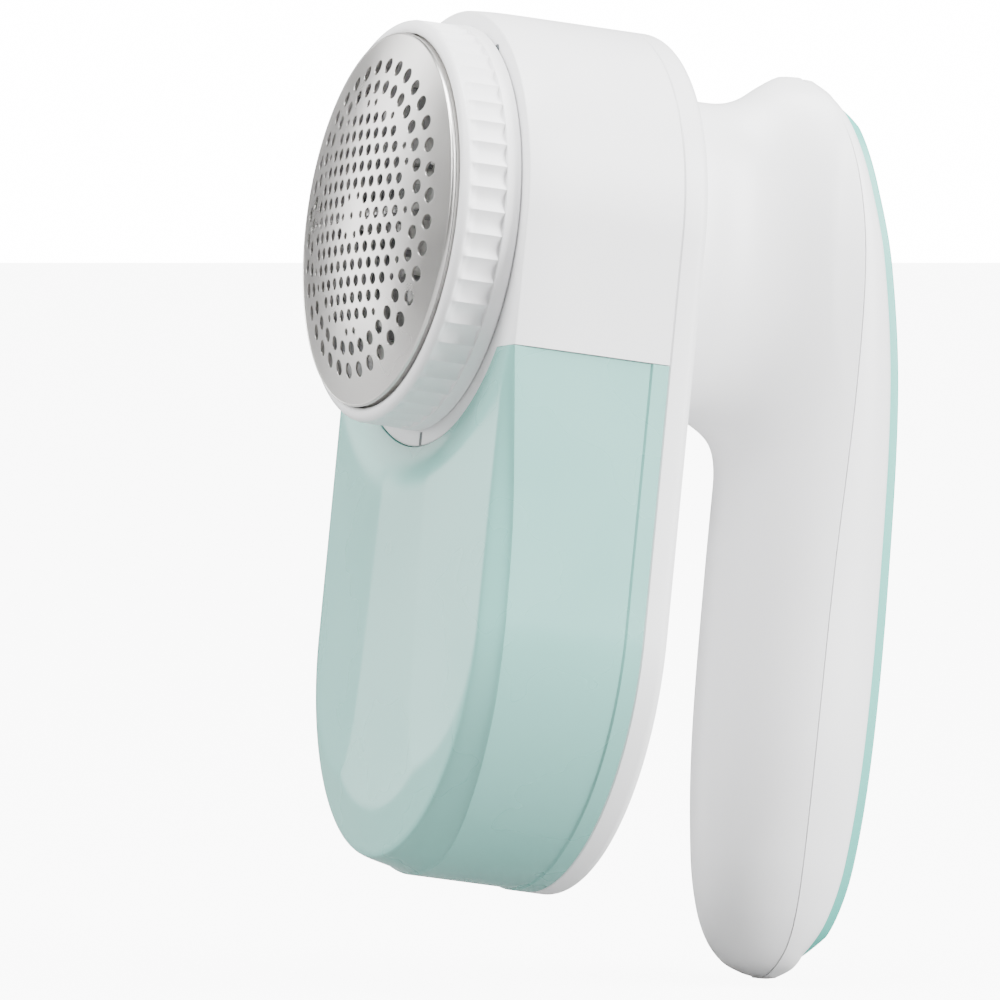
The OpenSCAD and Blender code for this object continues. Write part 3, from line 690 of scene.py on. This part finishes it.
METAL = {"Metallic": 1.0}
FINISH = {
    # drawn stainless sheet: satin, slightly warm, a little darker where it is handled
    "stainless_foil": material("satin_stainless_sheet",
                               "#D9D7D4", 0.3, 0.04, 0.25, 0.004, 0.1, 0.04, **METAL),
    # the casing: smooth white moulded ABS with a soft sheen
    "white_abs": material("moulded_white_abs", "#F1F1F2", 0.36, 0.04, 0.35, 0.003, 0.12, 0.015),
    # cutter disc: whiter, more matt acetal
    "white_acetal": material("moulded_white_acetal", "#EDEDEA", 0.45, 0.04, 0.4, 0.004, 0.2, 0.02),
    # drive hub and motor cap: natural acetal with a yellow cast
    "natural_acetal": material("natural_acetal", "#E2DCC8", 0.42, 0.05, 0.4, 0.004, 0.2, 0.03),
    # inner mouldings: duller grey-white ABS, never polished
    "inner_abs": material("inner_moulded_abs", "#D9DBDB", 0.5, 0.05, 0.5, 0.006, 0.2, 0.03),
    # hardened strip with ground edges
    "blade_steel": material("ground_blade_steel",
                            "#B9BABB", 0.26, 0.05, 0.2, 0.004, 0.05, 0.06, **METAL),
    # springs: bright wire, slightly uneven in gloss
    "spring_steel": material("drawn_spring_wire",
                             "#B5B7B9", 0.3, 0.05, 0.3, 0.003, 0.02, 0.04, **METAL),
    # screws: greyer zinc plating, slightly uneven in gloss
    "screw_steel": material("zinc_plated_screw",
                            "#A9ABAD", 0.34, 0.06, 0.4, 0.006, 0.06, 0.05, **METAL),
    # motor can: warm grey nickel plating with clear reflections
    "motor_steel": material("nickel_plated_can", "#B8B6B1", 0.28, 0.05, 0.8, 0.004, 0.2, 0.05, **METAL),
    # index mark: flat grey paint with almost no shine
    "mark_grey": material("grey_paint_fill", "#5B6063", 0.55, 0.04, 0.4, 0.004, 0.05, 0.03),
    # switch and knob: dark nylon with a dull moulded grain
    "switch_black": material("moulded_black_nylon", "#34373A", 0.48, 0.05, 0.4, 0.006, 0.15, 0.04),
    # clear mint plastic of the lint catcher, dyed through and slightly cloudy
    "mint_clear": material("dyed_clear_mint_plastic", "#8ACBC1", 0.27, 0.03, 0.5, 0.002, 0.12, 0.02,
                           **{"Transmission Weight": 0.2}),
    # opaque mint strip: dyed moulded ABS
    "mint_abs": material("moulded_mint_abs", "#55B5A8", 0.4, 0.04, 0.35, 0.003, 0.2, 0.02),
    # cells: a smooth green plastic sleeve
    "cell_jacket": material("printed_cell_jacket", "#4E8D82", 0.3, 0.04, 0.6, 0.003, 0.2, 0.05),
    # circuit board: satin green lacquer
    "board_green": material("solder_mask_green", "#2F6B4A", 0.35, 0.05, 0.7, 0.004, 0.05, 0.06),
    # red lead: soft, slightly waxy insulation
    "lead_red": material("red_pvc_insulation", "#B5342C", 0.42, 0.04, 0.4, 0.004, 0.02, 0.03),
    # black lead: soft, slightly waxy insulation
    "lead_black": material("black_pvc_insulation", "#26282A", 0.42, 0.04, 0.4, 0.004, 0.02, 0.03),
}

slot_of = {part["node"]: part["material_slot"] for part in frame["record"]["subparts"]}


def dress(obj, finish):
    """Gives an object its finish."""
    obj.data.materials.clear()
    obj.data.materials.append(FINISH[finish])
    return obj


for name, obj in frame["nodes"].items():
    dress(obj, slot_of[name])

for obj, finish, body, nodes in (
        (handle_shell(), "white_abs", "casing", ("neck", "handle_front")),
        (handle_rear(), "white_abs", "casing", ("handle_back",)),
        (cover_strip(), "mint_abs", "cover", ("battery_cover",)),
        (frame_tray(), "white_abs", "casing", ("rear_frame",)),
        (catcher_shell(), "mint_clear", "catcher", ("lint_catcher",)),
        (fluted_ring(), "white_abs", "ring", ("head_ring",)),
        (housing_shell(), "white_abs", "casing", ("upper_housing",)),
        (chamber_collar(), "white_abs", "casing", ()),
        (screw_posts(), "white_abs", "casing", ()),
        (foil_bead(), "stainless_foil", "foil", ())):
    dress(obj, finish)
    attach(obj, body)
    if nodes:
        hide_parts(*nodes)


# ---------- floor, light and camera ----------

TARGET = Vector((0, -0.0160, 0.06744))
AZIMUTH, ELEVATION, ROLL = math.radians(67.5), math.radians(-5.7), math.radians(5.55)
DISTANCE, LENS = 4.232, 1000
FLOOR_TILT = math.radians(4)

right = Vector((math.cos(AZIMUTH), math.sin(AZIMUTH), 0))
up = Vector((-math.sin(ELEVATION) * math.sin(AZIMUTH), math.sin(ELEVATION) * math.cos(AZIMUTH),
             math.cos(ELEVATION)))
back = right.cross(up)
right, up = (right * math.cos(ROLL) + up * math.sin(ROLL), -right * math.sin(ROLL) + up * math.cos(ROLL))

camera = bpy.data.objects.new("camera", bpy.data.cameras.new("camera"))
camera.data.lens, camera.data.sensor_width = LENS, 36
camera.data.clip_start, camera.data.clip_end = 0.05, 50
turn = Matrix((right, up, back)).transposed().to_4x4()
camera.matrix_world = Matrix.Translation(TARGET + back * DISTANCE) @ turn
bpy.context.scene.collection.objects.link(camera)
bpy.context.scene.camera = camera

normal = (up * math.cos(FLOOR_TILT) + back * math.sin(FLOOR_TILT)).normalized()
touch = Vector((0, (front_low[1] + 11) * MM, tip * MM))
side = normal.cross(back).normalized()
ahead = side.cross(normal)
floor_turn = Matrix((side, ahead, normal)).transposed().to_4x4()


def panel(name, place, width, height, power):
    """Soft white rectangular lamp that faces the object."""
    lamp = bpy.data.lights.new(name, "AREA")
    lamp.shape, lamp.size, lamp.size_y, lamp.energy = "RECTANGLE", width, height, power
    obj = bpy.data.objects.new(name, lamp)
    where = TARGET + right * place[0] + up * place[1] + back * place[2]
    facing = (where - TARGET).to_track_quat("Z", "Y").to_matrix().to_4x4()
    obj.matrix_world = Matrix.Translation(where) @ facing
    bpy.context.scene.collection.objects.link(obj)


FLOOR_DROP = 0.0015
FLOOR_HALF = 1800
FLOOR_GLOW = 9.0
plane = mesh_object("floor", [[-FLOOR_HALF, -FLOOR_HALF, 0], [FLOOR_HALF, -FLOOR_HALF, 0],
                              [FLOOR_HALF, FLOOR_HALF, 0], [-FLOOR_HALF, FLOOR_HALF, 0]],
                    [(0, 1, 2, 3)])
plane.data.transform(Matrix.Translation(touch - normal * FLOOR_DROP) @ floor_turn)
# floor: matt paper that glows white to the camera and only takes the object's soft shadow
white = material("matt_white_paper", "#8C8C8C", 0.7, 0.05, 1.5, 0.02, 0.01, 0.01,
                 **{"Emission Color": (1, 1, 1, 1)})
glow = add(white.node_tree, "LightPath").outputs["Is Camera Ray"]
glow = add(white.node_tree, "Math", {"operation": "MULTIPLY", 0: glow, 1: FLOOR_GLOW}).outputs["Value"]
white.node_tree.links.new(glow, white.node_tree.nodes["Principled BSDF"].inputs["Emission Strength"])
plane.data.materials.append(white)

panel("key_left", (-1.0, 0.9, 0.35), 0.5, 0.8, 30)
panel("left_back", (-0.95, 0.25, -0.75), 0.42, 1.3, 9)
panel("fill_right", (1.1, 0.5, 0.5), 0.6, 1.0, 54)
panel("top", (0.1, 1.4, 0.25), 1.0, 0.8, 54)

world = bpy.data.worlds.new("studio")
bpy.context.scene.world = world
world.use_nodes = True
world.node_tree.nodes.clear()
seen = add(world.node_tree, "LightPath").outputs["Is Camera Ray"]
level = add(world.node_tree, "MapRange", {"Value": seen, "To Min": 0.24, "To Max": 16.0}).outputs["Result"]
sky = add(world.node_tree, "Background", {"Color": (1, 1, 1, 1), "Strength": level}).outputs["Background"]
add(world.node_tree, "OutputWorld", {"Surface": sky})
